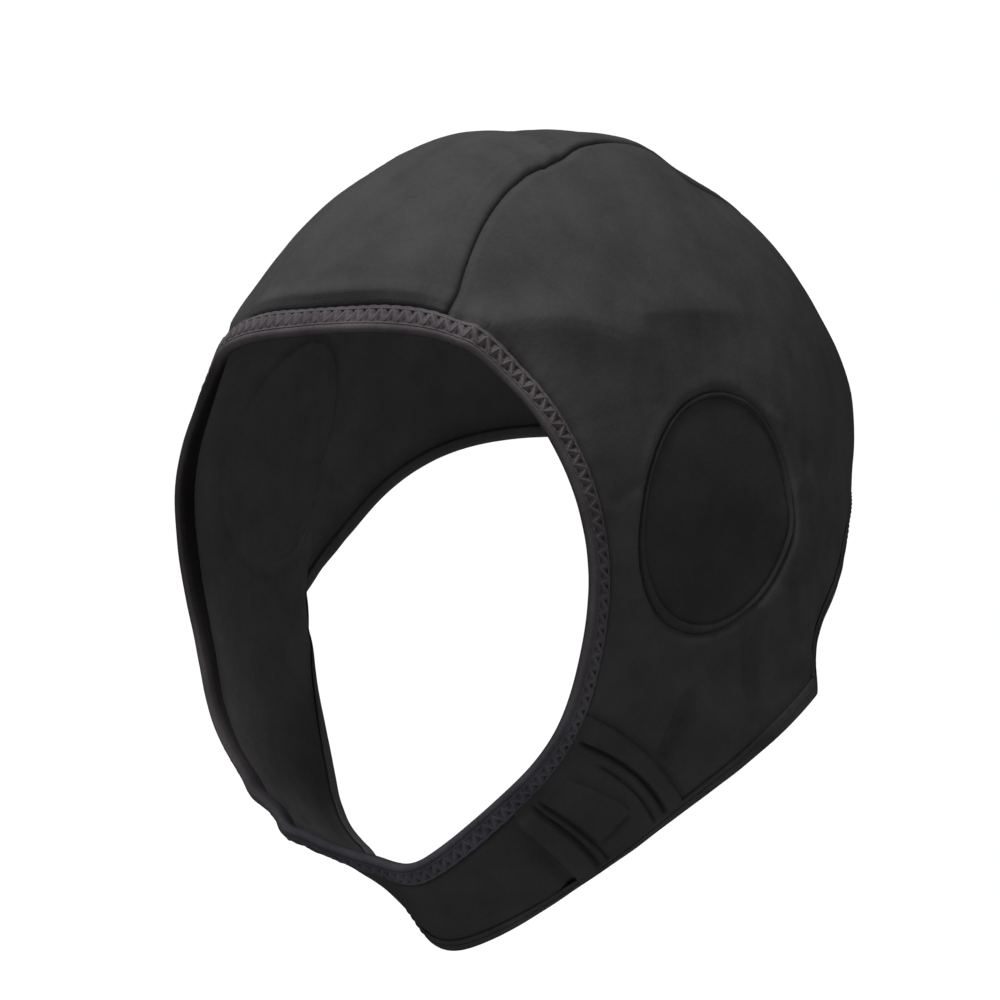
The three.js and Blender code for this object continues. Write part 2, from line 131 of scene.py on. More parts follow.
# Soft folds (height below 0 sinks): from, to, width, height. The first nine follow the solids'
# folds, some of them softer, and the rest are finer.
FOLDS = [
    ((82, 15, -4), (84.3, 12, -26), 5, 0.5),
    ((80.5, 2.5, -24), (83.3, 7, -38), 4, 0.7),
    ((79.6, -1, -26), (79.6, -2.5, -42), 3.4, -1.0),
    ((74, -20, -30), (70, -17, -54), 4.5, 1.2),
    ((-82.5, 16, -12), (-84, 10, -36), 4.5, 1.2),
    ((-79.5, -2, -30), (-77, -4, -52), 4, 1.2),
    ((-14, -62, 68), (27, -56, 69.5), 6, 1.1),
    ((41, -58, 57.5), (62, -25, 48.5), 4.5, 0.3),
    ((-24, -70, -80), (-22, -45, -99), 3.5, 2.2),
    ((82.8, 10.4, -19), (83.6, 11, -34), 1.7, -1.2),
    ((81.8, 6.0, -21), (82.5, 6.4, -30), 2.2, 0.5),
    ((78.7, -2.9, -31), (78.1, -2.5, -45), 1.8, -0.9),
    ((79, -3.1, -26), (77.9, -2.4, -51), 2.5, -0.7),
    ((79.6, 1.2, -30), (79, 1.6, -50), 2.4, 0.5),
    ((73, -20.4, -42), (65.5, -24.4, -57.4), 2.2, -2.0),
    ((75, -15, -42), (68.5, -19, -60), 2.6, 0.8),
    ((19.8, -9.8, 90.8), (23.7, -9.4, 88.9), 1.3, -0.6),
    ((84.5, 9, -42), (79.6, -1, -52), 3.2, -0.7),
    ((76, -12, -35), (77, -7, -50), 3.0, -0.7),
    ((72.9, 6, 29), (75.5, 18, 21), 1.7, 0.5),
    ((68.9, -41.3, 13.4), (69.8, -33.4, 15.5), 1.8, -0.6),
    ((80, 18, 5), (80, 16, 4), 2.0, 0.5),
    ((80.7, 12.5, 0.5), (81, 12, -1), 1.8, 0.4),
    ((70, -30, -36), (65.4, -22, -60), 3.2, 0.5),
    ((-82, 14, -6), (-82.6, 18, -30), 2.6, 0.7),
    ((-70.6, -28, -34), (-65.3, -22, -58), 3.2, 0.6),
    ((-33, -76, -66), (-34, -52, -86), 3.0, 1.0),
    ((14, -3, 93.2), (22, -5, 90), 2.2, 0.8),
    ((17, -14, 91.5), (23, -18, 88), 2.0, 0.5),
]
# Creases with a soft rise above and a straight slope below: points along, height, width above,
# width below, and how soon the height comes and goes as shares of the length
CREASES = [
    (((38.5, -60.3, 58.6), (43.7, -56.4, 56.6), (47.3, -51.6, 56.3), (50, -47.1, 56.5), (52.5, -42.5, 56.3),
      (55, -38, 55.5), (58.1, -32.6, 53.4), (60.5, -28, 51.3), (62.8, -21.7, 49), (63.8, -13.6, 46.5),
      (66.2, -2.7, 42.8)), 2.9, 7, 12, 0.06, 0.5),
    (((56, -24, 57), (59.5, -17.3, 54.2), (61.4, -4, 52.6), (62.9, 10, 50), (62.6, 26.4, 46.3)),
     1.6, 8, 9, 0.25, 0.3),
    (((-38, -60, 49), (-50, -44, 52), (-61, -24, 44)), 0.9, 6, 8, 0.12, 0.45),
]
SLOPE_POWER = 1.6  # how hollow a crease's slope is


def spline_bends(points, closed):
    count = len(points)
    system, right = np.zeros((count, count)), np.zeros_like(points)
    for i in range(count):
        if not closed and i in (0, count - 1):
            system[i, i] = 1
            continue
        before, after = (i - 1) % count, (i + 1) % count
        system[i, [before, i, after]] = 1, 4, 1
        right[i] = 6 * (points[before] - 2 * points[i] + points[after])
    return np.linalg.solve(system, right)


class Curve:
    """A smooth curve through points one step apart."""

    def __init__(self, points, closed):
        self.points, self.closed = np.array(points, float), closed
        self.bends = spline_bends(self.points, closed)

    def __call__(self, position):
        count = len(self.points)
        if self.closed:
            start = np.floor(position).astype(int)
        else:
            position = np.clip(position, 0, count - 1)
            start = np.clip(np.floor(position).astype(int), 0, count - 2)
        share = (position - start)[..., None]
        rest = 1 - share
        i, j = start % count, (start + 1) % count
        return (rest * self.points[i] + share * self.points[j]
                + ((rest**3 - rest) * self.bends[i] + (share**3 - share) * self.bends[j]) / 6)


FACE, CREST, NECK = (np.array([row[k] for row in RIBS.values()], float) for k in range(3))
face_curve, crest_curve = Curve(FACE, True), Curve(CREST, True)
jaw_curve = Curve(NECK[LEFT_CORNER:RIGHT_CORNER + 1], False)
nape_curve = Curve(np.vstack([NECK[RIGHT_CORNER:], NECK[:LEFT_CORNER + 1]]), False)


def neck_curve(rib):
    rib = np.mod(rib, ROUND)
    in_jaw = (rib >= LEFT_CORNER) & (rib <= RIGHT_CORNER)
    nape = np.where(rib < LEFT_CORNER, rib + ROUND, rib) - RIGHT_CORNER
    return np.where(in_jaw[..., None], jaw_curve(rib - LEFT_CORNER), nape_curve(nape))


def form_radius(direction):
    x, y, z = np.moveaxis(direction, -1, 0)
    depth = np.where(y < 0, FRONT_DEPTH, BACK_DEPTH)
    height = np.where(z > 0, CROWN_RISE, CHIN_DROP)
    plan = np.abs(x / HALF_BREADTH) ** PLAN_POWER + np.abs(y / depth) ** PLAN_POWER + 1e-12
    return (plan ** (SIDE_POWER / PLAN_POWER) + np.abs(z / height) ** SIDE_POWER) ** (-1 / SIDE_POWER)


def unit(vectors):
    return vectors / np.linalg.norm(vectors, axis=-1, keepdims=True)


def ridge_at(value, middle, width):
    """1 at the middle, and softly down to 0 on both sides of it."""
    return np.exp(-(((value - middle) / width) ** 2))


def ease(value, low, high):
    """0 up to the low value, 1 from the high one, and smoothly up between them."""
    share = np.clip((value - low) / (high - low), 0, 1)
    return share * share * (3 - 2 * share)


def ease_off(value, low, high):
    return 1 - ease(value, low, high)


def ridges(distance, rows):
    """Ridges at distances from a line. Each row is a middle, a width and a height."""
    return sum(height * ridge_at(distance, middle, width) for middle, width, height in rows)


def surface(rib, along):
    """The cloth without dents or folds: rib counts round the hood, along runs 0 to 1."""
    rib, along = np.broadcast_arrays(np.asarray(rib, float), np.asarray(along, float))
    corners = face_curve(np.mod(rib, ROUND)), crest_curve(np.mod(rib, ROUND)), neck_curve(rib)
    t = along[..., None]
    weights = (1 - t) * (1 - 2 * t), 4 * t * (1 - t), t * (2 * t - 1)
    direction, reach = 0, 0
    for corner, weight in zip(corners, weights):
        length = np.linalg.norm(corner, axis=-1)
        direction = direction + weight * corner
        reach = reach + weight * (length / form_radius(unit(corner)))[..., None]
    direction = unit(direction)
    return direction * form_radius(direction)[..., None] * reach


SLIGHTLY = 0.01


def surface_steps(rib, along):
    low, high = np.maximum(along - SLIGHTLY, 0), np.minimum(along + SLIGHTLY, 1)
    around = (surface(rib + SLIGHTLY, along) - surface(rib - SLIGHTLY, along)) / (2 * SLIGHTLY)
    inward = (surface(rib, high) - surface(rib, low)) / (high - low)[..., None]
    return around, inward


def edge_share(rib, along, width=1.0):
    """The share of a rib that a band of this width takes up, square to the edge it follows."""
    around, inward = surface_steps(rib, along)
    area = np.linalg.norm(np.cross(around, inward), axis=-1)
    return width * np.linalg.norm(around, axis=-1) / area


def off_line(points, start, end):
    start, end = np.array(start, float), np.array(end, float)
    way = end - start
    share = np.clip((points - start) @ way / (way @ way), 0, 1)
    return points - start - share[..., None] * way, share


def relief(points):
    height = np.zeros(points.shape[:-1])
    for place, spread, depth in DENTS:
        height -= depth * np.exp(-(((points - place) / spread) ** 2).sum(-1))
    for start, end, width, rise in FOLDS:
        away, _ = off_line(points, start, end)
        height += rise * ridge_at(np.linalg.norm(away, axis=-1), 0, width)
    for crease in CREASES:
        height += crease_height(points, *crease)
    return height + ripples(points)


def crease_height(points, line, rise, above, below, comes, goes):
    nearest = np.full(points.shape[:-1], np.inf)
    height = np.zeros(points.shape[:-1])
    pieces = len(line) - 1
    for k in range(pieces):
        away, share = off_line(points, line[k], line[k + 1])
        distance = np.linalg.norm(away, axis=-1)
        slope = np.clip(1 - distance / below, 0, 1) ** SLOPE_POWER
        run = (k + share) / pieces
        fade = np.clip(run / comes, 0, 1) * np.clip((1 - run) / goes, 0, 1)
        value = rise * fade * np.where(away[..., 2] > 0, ridge_at(distance, 0, above), slope)
        height = np.where(distance < nearest, value, height)
        nearest = np.minimum(nearest, distance)
    return height


def wave_set(seed, count, shortest, longest):
    """Random waves through space, the same at each run: their directions, lengths and phases."""
    random = np.random.default_rng(seed)
    ways = unit(random.normal(size=(count, 3)))
    lengths = random.uniform(shortest, longest, count)
    return ways * (2 * math.pi / lengths)[:, None], random.uniform(0, 2 * math.pi, count)


BROAD_HEIGHT, BROAD = 1.1, wave_set(seed=3, count=14, shortest=26, longest=60)
FINE_HEIGHT, FINE = 0.28, wave_set(seed=7, count=22, shortest=6, longest=15)


def ripples(points):
    """Slight unevenness of stretched cloth."""
    broad = np.sin(points @ BROAD[0].T + BROAD[1]).mean(-1)
    fine = np.sin(points @ FINE[0].T + FINE[1]).mean(-1)
    return BROAD_HEIGHT * broad + FINE_HEIGHT * fine


def cloth_frame(rib, along):
    """Points of the smooth surface with their outward directions."""
    around, inward = surface_steps(rib, along)
    return surface(rib, along), unit(np.cross(around, inward))


def cloth(rib, along, lift):
    """Points of the cloth, so many millimetres out from its outer face."""
    rib, along = np.broadcast_arrays(np.asarray(rib, float), np.asarray(along, float))
    points, outward = cloth_frame(rib, along)
    return points + outward * (relief(points) + lift)[..., None]


# How far each crown seam strays outward from its rib, at each share of the way back
LEFT_SWAY = ((0, 0), (0.07, 0.13), (0.43, 0.125), (0.62, -0.18), (0.74, -0.12), (1, 0))
RIGHT_SWAY = ((0, 0), (0.12, -0.03), (0.3, 0.1), (0.44, 0.09), (0.62, -0.12), (1, 0))


def sway(rows, along):
    stray = np.zeros_like(along)
    for (start, low), (end, high) in zip(rows, rows[1:]):
        here = (along > start) & (along <= end)
        stray = np.where(here, low + (high - low) * ease(along, start, end), stray)
    return stray


def left_seam(along):
    return LEFT_SEAM + sway(LEFT_SWAY, along)


def right_seam(along):
    return RIGHT_SEAM - sway(RIGHT_SWAY, along)


# Materials
def new_material(name):
    material = bpy.data.materials.new(name)
    material.use_nodes = True
    return material, material.node_tree, material.node_tree.nodes["Principled BSDF"]


def add_node(tree, kind, inputs=None, **settings):
    node = tree.nodes.new(kind)
    for name, value in settings.items():
        setattr(node, name, value)
    for socket, number in (inputs or {}).items():
        node.inputs[socket].default_value = number
    return node


def attribute(tree, name, output="Fac"):
    return add_node(tree, "ShaderNodeAttribute", attribute_name=name).outputs[output]


def feed(tree, socket, value):
    """Links a socket to another node's output, or sets it to a number or colour."""
    if isinstance(value, bpy.types.NodeSocket):
        tree.links.new(value, socket)
    else:
        socket.default_value = value


def maths(tree, operation, *values):
    node = add_node(tree, "ShaderNodeMath", operation=operation)
    for socket, value in zip(node.inputs, values):
        feed(tree, socket, value)
    return node.outputs[0]


def weighed(tree, first, share, second, other_share):
    """The sum of two values, each times its share."""
    return maths(tree, "ADD", maths(tree, "MULTIPLY", first, share),
                 maths(tree, "MULTIPLY", second, other_share))


def noise(tree, vector, scale, detail=4.0, roughness=0.55):
    node = add_node(tree, "ShaderNodeTexNoise",
                    inputs={"Scale": scale, "Detail": detail, "Roughness": roughness})
    tree.links.new(vector, node.inputs["Vector"])
    return node.outputs["Fac"]


def blend_colours(tree, factor, first, second, mode="MIX"):
    node = add_node(tree, "ShaderNodeMix", data_type="RGBA", blend_type=mode)
    for slot, value in ((0, factor), (6, first), (7, second)):
        feed(tree, node.inputs[slot], (*value, 1) if isinstance(value, tuple) else value)
    return node.outputs[2]


def spread_range(tree, value, low, high, to_low, to_high):
    node = add_node(tree, "ShaderNodeMapRange", inputs={
        "From Min": low, "From Max": high, "To Min": to_low, "To Max": to_high})
    tree.links.new(value, node.inputs["Value"])
    return node.outputs["Result"]


MOTTLE_SCALE, FUZZ_SCALE = 70.0, 900.0  # of the cloth's uneven colour and its fuzz, per metre
COURSE_SHARE = 0.35  # how much lower a knit's courses stand than its wales


def fabric(slot, name, dark, light, rough=(0.55, 0.7), knit=(0.62, 0.55), depth=0.018, second=None,
           fuzz=0.03):
    """A slot and its cloth: two tones mottled at two scales, a knit and fine fuzz.
    second gives two more tones, which the piece's tone attribute blends in, and a further
    attribute darkens both with painted shade. The knit's hollows are painted a little darker too,
    as painted shade. knit holds the millimetres of a wale and a course."""
    material, tree, shader = new_material(name)
    where = add_node(tree, "ShaderNodeTexCoord").outputs["Object"]
    parts = add_node(tree, "ShaderNodeSeparateXYZ")
    tree.links.new(attribute(tree, "weave", "Vector"), parts.inputs[0])
    wales, courses = (maths(tree, "SINE", maths(tree, "MULTIPLY", part, 2 * math.pi / size))
                      for part, size in zip(parts.outputs, knit))
    loops = weighed(tree, maths(tree, "ABSOLUTE", wales), 1.0, courses, COURSE_SHARE)
    mottle = noise(tree, where, MOTTLE_SCALE)
    fine = noise(tree, where, FUZZ_SCALE, 3.0)
    patchy = spread_range(tree, weighed(tree, mottle, 0.7, fine, 0.3), 0.36, 0.64, 0.0, 1.0)
    colour = blend_colours(tree, patchy, dark, light)
    if second:
        other = blend_colours(tree, patchy, *second)
        colour = blend_colours(tree, attribute(tree, "tone"), colour, other)
    # Painted shade: the knit's hollows are painted a little darker, and the attribute read here darkens the
    # colour where shade is painted
    shade = maths(tree, "MULTIPLY", spread_range(tree, loops, -0.3, 1.3, 0.95, 1.04),
                  maths(tree, "SUBTRACT", 1.0, attribute(tree, "painted_shade")))
    dimmed = blend_colours(tree, 1.0, colour, shade, "MULTIPLY")
    tree.links.new(dimmed, shader.inputs["Base Color"])
    tree.links.new(spread_range(tree, mottle, 0.3, 0.7, *rough), shader.inputs["Roughness"])
    shader.inputs["Specular IOR Level"].default_value = 0.0
    height = weighed(tree, loops, depth * MM, fine, fuzz * 4 * MM)
    bump = add_node(tree, "ShaderNodeBump", inputs={"Strength": 0.8, "Distance": 1.0})
    tree.links.new(height, bump.inputs["Height"])
    tree.links.new(bump.outputs["Normal"], shader.inputs["Normal"])
    return slot, material


INSIDE = ((0.0245, 0.0245, 0.0245), (0.0325, 0.0325, 0.0327))  # the cloth's reverse, painted lighter as fill light for the inside of the hood
TAPE = {"rough": (0.62, 0.78), "knit": (0.9, 0.7), "depth": 0.06}
PANEL_CLOTH = fabric("panel_cloth", "stretch cloth", (0.014, 0.014, 0.0142), (0.0183, 0.0183, 0.0186),
                     second=INSIDE)
EAR_CLOTH = fabric("ear_cloth", "ear cloth", (0.0096, 0.0096, 0.0098), (0.0124, 0.0124, 0.0127),
                   rough=(0.7, 0.85), knit=(0.9, 0.9), depth=0.01, second=INSIDE)
STRAP_CLOTH = fabric("strap_cloth", "strap cloth", (0.0122, 0.0122, 0.0124), (0.0162, 0.0162, 0.0165),
                     second=INSIDE)
BINDING = fabric("binding", "elastic binding", (0.0215, 0.0192, 0.0207), (0.033, 0.0298, 0.0318),
                 second=((0.0178, 0.0172, 0.0204), (0.028, 0.027, 0.0315)), **TAPE)
HEM = fabric("binding", "neck binding", (0.014, 0.0138, 0.0146), (0.0215, 0.0212, 0.0222),
             second=INSIDE, **TAPE)
THREAD = fabric("binding", "thread", (0.0245, 0.0216, 0.0235), (0.037, 0.033, 0.0355), rough=(0.5, 0.65),
                knit=(0.8, 0.9), depth=0.05, fuzz=0.01,
                second=((0.02, 0.0194, 0.0232), (0.0312, 0.0303, 0.0355)))
DARK_THREAD = fabric("binding", "dark thread", (0.0145, 0.0145, 0.015), (0.023, 0.023, 0.0236),
                     rough=(0.5, 0.65), knit=(0.7, 0.9), depth=0.04, fuzz=0.01)
PILE = fabric("hook_pad", "hook and loop pile", (0.004, 0.004, 0.0045), (0.007, 0.007, 0.0075),
              rough=(0.85, 0.95), knit=(1.1, 1.1), depth=0.2, fuzz=0.15)


# Pieces
def volume(points, faces):
    total = 0.0
    for group in faces:
        for k in range(1, group.shape[1] - 1):
            a, b, c = points[group[:, 0]], points[group[:, k]], points[group[:, k + 1]]
            total += (a * np.cross(b, c)).sum()
    return total


def new_piece(name, points, faces, cloth_kind, replaced, weave, tone=None, sharp=50, painted_shade=None):
    """Points in millimetres from the form's centre, placed in the frame in metres. faces is one
    array of faces or several, turned to face outward, and cloth_kind a slot and its material."""
    points = np.asarray(points)
    faces = faces if isinstance(faces, list) else [faces]
    if volume(points, faces) < 0:
        faces = [group[:, ::-1] for group in faces]
    mesh = bpy.data.meshes.new(name)
    placed = (points - (0, 0, SEAT_HEIGHT)) * MM
    mesh.from_pydata(placed.tolist(), [], [face for group in faces for face in group.tolist()])
    mesh.polygons.foreach_set("use_smooth", [True] * len(mesh.polygons))
    flat = np.zeros((len(placed), 3))
    flat[:, :2] = weave
    mesh.attributes.new("weave", "FLOAT_VECTOR", "POINT").data.foreach_set("vector", flat.ravel())
    for label, values in (("tone", tone), ("painted_shade", painted_shade)):
        if values is not None:
            layer = mesh.attributes.new(label, "FLOAT", "POINT")
            layer.data.foreach_set("value", np.asarray(values, float))
    slot, material = cloth_kind
    mesh.materials.append(material)
    mesh.update()
    mesh.set_sharp_from_angle(angle=math.radians(sharp))
    piece = new_object(name, mesh)
    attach(piece, "root")
    if replaced:
        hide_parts(*replaced)


def grid_faces(rows, columns):
    corner = (np.arange(rows - 1)[:, None] * columns + np.arange(columns - 1)).ravel()
    return np.stack([corner, corner + columns, corner + columns + 1, corner + 1], 1)


def closed_shell(outer, inner, faces):
    """A closed body from matching outer and inner points: walls join them at every free edge."""
    count = len(outer)
    edges = np.concatenate([faces[:, [k, (k + 1) % 4]] for k in range(4)])
    keys = edges.min(1) * count + edges.max(1)
    _, first, times = np.unique(keys, return_index=True, return_counts=True)
    rim = edges[first[times == 1]]
    walls = np.stack([rim[:, 1], rim[:, 0], rim[:, 0] + count, rim[:, 1] + count], 1)
    faces = np.concatenate([faces, faces[:, ::-1] + count, walls])
    used = np.unique(faces)
    place = np.full(2 * count, -1)
    place[used] = np.arange(len(used))
    return np.concatenate([outer, inner])[used], place[faces], used % count, used >= count


def raised(points, outward, height):
    """Points moved out by so many millimetres, in one list."""
    return (points + outward * height[..., None]).reshape(-1, 3)


DEEPEST = -1.45  # the inner face stays this close under the smooth cloth
THINNEST = 0.35  # of cloth in a seam or groove


def two_faces(points, outward, lift, groove=0):
    """Outer and inner points of cloth: its seams dip less on the inside, and a groove there
    thins the cloth."""
    base = relief(points)
    under = np.minimum(np.maximum(lift - CLOTH, DEEPEST), lift - THINNEST)
    under = under + (lift - THINNEST - under) * groove
    return raised(points, outward, base + lift), raised(points, outward, base + under)


def path_length(points):
    """How far each point lies along a line, or down a grid."""
    steps = np.linalg.norm(np.diff(points, axis=0), axis=-1)
    return np.concatenate([0 * steps[:1], np.cumsum(steps, axis=0)])


def at_rib(rib):
    """A straight edge of a panel, along one rib."""
    return lambda along: rib + 0 * along


def grid_shares(across, down):
    """Shares of the way across and down a grid, at each of its points."""
    return np.meshgrid(np.linspace(0, 1, across), np.linspace(0, 1, down), indexing="ij")


def panel_grid(side_a, side_b, across, down, closer=1.0, start=2.2, end=1.6):
    """Ribs and alongs of a panel from edge a to edge b, from inside the face binding
    to inside the neck binding. closer above 1 draws the grid's lines towards the face."""
    share, run = grid_shares(across, down)
    run = run ** closer
    middle = side_a(run) + (side_b(run) - side_a(run)) * share
    first = edge_share(middle[:, :1], 0, start)
    last = 1 - evened(edge_share(middle[:, -1], 1, end), 4, "edge")[:, None]
    along = first + (last - first) * run
    rib = side_a(along) + (side_b(along) - side_a(along)) * share
    return rib, along


def patch_grid(ribs, across, down, from_face, from_neck):
    """Ribs and alongs of a patch that stops so many millimetres short of the two edges, and the
    share of the way down it."""
    rib, share = grid_shares(across, down)
    rib = ribs[0] + (ribs[1] - ribs[0]) * rib
    first = edge_share(rib[:, :1], 0, from_face)
    last = 1 - edge_share(rib[:, :1], 1, from_neck)
    return rib, first + (last - first) * share, share


def evened(share, reach, ends):
    """Evens out an edge's share over so many neighbours each side, where the edge turns a corner."""
    window = np.ones(2 * reach + 1) / (2 * reach + 1)
    return np.maximum(share, np.convolve(np.pad(share, reach, mode=ends), window, mode="valid"))


def weave_of(points):
    """Millimetres across and along a grid of points, for the knit to follow."""
    down = path_length(points.swapaxes(0, 1)).T
    across = path_length(points[:, points.shape[1] // 2])[:, None] + 0 * down
    return np.stack([across, down], -1)


def cloth_piece(name, node, cloth_kind, points, sides, faces=None, weave=None, paler=None):
    """A closed piece of cloth from its outer and inner points. Its reverse takes the second tone,
    painted fill light, as far as paler says for each height."""
    faces = grid_faces(*points.shape[:2]) if faces is None else faces
    body, faces, source, reverse = closed_shell(*sides, faces)
    weave = weave_of(points) if weave is None else weave
    tone = reverse * paler(body[:, 2]) if paler else None
    new_piece(name, body, faces, cloth_kind, (node,), weave.reshape(-1, 2)[source], tone)


def edge_distance(rib, along, edge):
    """Millimetres in from the face edge, 0, or the neck edge, 1."""
    return np.abs(edge - along) / edge_share(rib, edge)


def ribs_from_forehead(rib):
    """How many ribs from the middle of the forehead, above 0 towards the left."""
    return np.mod(rib + ROUND / 2, ROUND) - ROUND / 2


def brow_width(rib):
    """The face binding is stretched wider over the brow, between the crown seams."""
    return 1 + 0.32 * ease_off(np.abs(ribs_from_forehead(rib)), 0.45, 1.65)


# Ridges of cloth beside each binding: millimetres from the edge, width and height
BESIDE_FACE = ((5.9, 0.6, -0.6), (9.5, 2.6, 0.2))
BESIDE_NECK = ((4.2, 0.8, -0.1), (7, 2.2, 0.2))


def binding_tuck(rib, along):
    """Cloth dips under each binding, and stands a little fuller beside it."""
    from_face = edge_distance(rib, along, 0) / brow_width(rib)
    from_neck = edge_distance(rib, along, 1)
    height = -0.3 * ease_off(from_face, FACE_WIDTH, 7.0) - 0.2 * ease_off(from_neck, NECK_WIDTH, 5.5)
    height += ridges(from_face, BESIDE_FACE) + ridges(from_neck, BESIDE_NECK)
    gather = 0.08 * np.sin(rib * 26.0) * np.sin(rib * 9.7 + 1) * ridge_at(from_face, 6, 7.0)
    return height + gather + brow_tuck(rib, from_face)


ROLL_TOP, ROLL_FOOT = 8.7, 5.8  # of the roll over the brow binding, from the face edge
ROLL_DROP, ROLL_SINK = 1.7, 0.7  # how far it falls, and how much of that under the cloth


def brow_tuck(rib, from_face):
    """A roll of cloth over the brow drops steeply to the binding and tucks in under it."""
    from_middle = ribs_from_forehead(rib)
    deepest = 0.75 + 0.6 * ridge_at(from_middle, -0.1, 0.5)
    roll = ridge_at(np.maximum(from_face, ROLL_TOP), ROLL_TOP, 2.6)
    fall = ROLL_DROP * np.clip((from_face - ROLL_FOOT) / (ROLL_TOP - ROLL_FOOT), 0, 1) - ROLL_SINK
    level = ROLL_SINK * ease_off(from_face, 4.4, FACE_WIDTH)
    height = np.where(from_face > ROLL_TOP, roll, fall) + level
    return ease_off(np.abs(from_middle), 0.7, 1.2) * deepest * height


SIDE_RUN, STRAP_RUN = 240, 60  # a seam's rough length on a side and on the strap


def seam_dip(distance, run, depth, wide=0.5, full=0.14):
    """A sewn seam: its edges roll in, the cloth beside it is slightly full and puckered."""
    dip = full * ridge_at(distance, 2.2, 1.2) - depth * ridge_at(distance, 0, wide)
    wave = np.sin(run * 1.55) * np.sin(run * 0.43 + 0.6)
    return dip + 0.07 * wave * ridge_at(distance, 0, 3.5)


def rib_distance(rib, along, line):
    around, _ = surface_steps(rib, along)
    return np.abs(rib - line) * np.linalg.norm(around, axis=-1)


# Ears
EAR_MIDDLE = {1: -9.7, -1: -12.7}
EAR_Z, EAR_LENGTH, EAR_HEIGHT, EAR_TILT = 3.4, 23.5, 30.7, -0.45
EAR_RADIUS = 27.0  # the oval's mean radius
EAR_INSIDE = -1.6  # lift of the ear cloth's inner face
LOWEST_FRONT = math.radians(248)  # where the ear cloth's lip and groove are widest
NUDGE = 1e-3  # of a rib or an along, to measure a slope


def ear_axes(points, side):
    """Shares of the oval's two half axes, the shorter one first: its top leans back."""
    y, z = points[..., 1] - EAR_MIDDLE[side], points[..., 2] - EAR_Z
    shorter = (y * math.cos(EAR_TILT) + z * math.sin(EAR_TILT)) / EAR_LENGTH
    longer = (z * math.cos(EAR_TILT) - y * math.sin(EAR_TILT)) / EAR_HEIGHT
    return shorter, longer


def ear_value(points, side):
    """0 on the ear's oval seam, above 0 outside it: a share of the oval's size."""
    return np.hypot(*ear_axes(points, side)) - 1


def ear_angle(points, side):
    """Angle round the ear's oval, 0 at its back and a quarter turn at its top."""
    shorter, longer = ear_axes(points, side)
    return np.arctan2(longer, shorter)


def pull_to_oval(rib, along, side, chosen):
    """Moves the chosen grid points along the surface onto the ear's oval."""
    rib, along = rib.copy(), along.copy()
    u, t = rib[chosen], along[chosen]
    for _ in range(5):
        around, inward = surface_steps(u, t)
        value = ear_value(surface(u, t), side)
        by_rib = (ear_value(surface(u + NUDGE, t), side) - value) / NUDGE
        by_along = (ear_value(surface(u, t + NUDGE), side) - value) / NUDGE
        rib_scale, along_scale = (around**2).sum(-1), (inward**2).sum(-1)
        slope = by_rib**2 / rib_scale + by_along**2 / along_scale
        u = u - value * by_rib / rib_scale / slope
        t = t - value * by_along / along_scale / slope
    rib[chosen], along[chosen] = u, t
    return rib, along


def oval_opening(rib, along, side):
    """The grid with its points pulled onto the ear's oval, and the faces outside it."""
    inside = ear_value(surface(rib, along), side) < 0
    near = np.pad(~inside, 1, mode="edge")
    rows, columns = inside.shape
    beside = np.zeros_like(inside)
    for i in range(3):
        for j in range(3):
            beside |= near[i:i + rows, j:j + columns]
    rim = inside & beside
    rib, along = pull_to_oval(rib, along, side, rim)
    faces = grid_faces(rows, columns)
    deep = (inside & ~rim).ravel()[faces].any(1)
    flat = rim.ravel()[faces].all(1)
    return rib, along, faces[~(deep | flat)]


def near_angle(angle, middle, width):
    """A ridge round an oval, where angles wrap."""
    return ridge_at(np.angle(np.exp(1j * (angle - middle))), 0, width)


def ear_edge(points, side):
    """The side cloth rolls in at the ear's seam, and puckers at the seam's upper front."""
    distance = np.maximum(ear_value(points, side), 0) * EAR_RADIUS
    angle = ear_angle(points, side)
    wide = 0.7 + 0.5 * near_angle(angle, LOWEST_FRONT, 0.8)
    roll = 0.2 * ridge_at(distance, 2.6, 1.4) - 1.3 * ridge_at(distance, 0, wide)
    pucker = 0.09 * ridge_at(angle, 1.8, 0.5) * np.sin(angle * 37) * np.sin(angle * 13 + 1)
    pucker += 0.07 * np.sin(angle * 31 + 0.5) * np.sin(angle * 7)
    return roll + pucker * ridge_at(distance, 0, 5)


GROOVE_FROM_FACE, GROOVE_WIDTH = 6.7, 0.8  # inside the right side, beside the binding
PALER_ABOVE, PALEST_ABOVE = -78, -46  # heights between which the painted fill light on the cloth's reverse comes in, going up


def side_piece(name, node, side, edge_a, edge_b, across):
    rib, along = panel_grid(edge_a, edge_b, across, 150)
    rib, along, faces = oval_opening(rib, along, side)
    points, outward = cloth_frame(rib, along)
    crown = left_seam(along) if side > 0 else right_seam(along)
    run = along * SIDE_RUN
    lift = binding_tuck(rib, along) + ear_edge(points, side)
    lift += seam_dip(rib_distance(rib, along, crown), run, 1.1, 1.3, 0)
    groove = 0
    if side < 0:
        lift += seam_dip(rib_distance(rib, along, STRAP_SEAM), run, 1.0)
        groove = ridge_at(edge_distance(rib, along, 0), GROOVE_FROM_FACE, GROOVE_WIDTH)
        groove = groove * ease_off(rib, 11.6, 13.0)
    cloth_piece(name, node, PANEL_CLOTH, points, two_faces(points, outward, lift, groove), faces,
                paler=lambda height: ease(height, PALER_ABOVE, PALEST_ABOVE))


side_piece("left_side_cloth", "left_side_panel", 1, left_seam, at_rib(PANEL_END), 230)
side_piece("right_side_cloth", "right_side_panel", -1, at_rib(STRAP_SEAM), right_seam, 250)

# Beside a crown seam on the centre cloth: millimetres from the seam, width and height
BESIDE_CROWN_SEAM = ((6.3, 0.4, -0.16), (5.0, 0.9, 0.1))


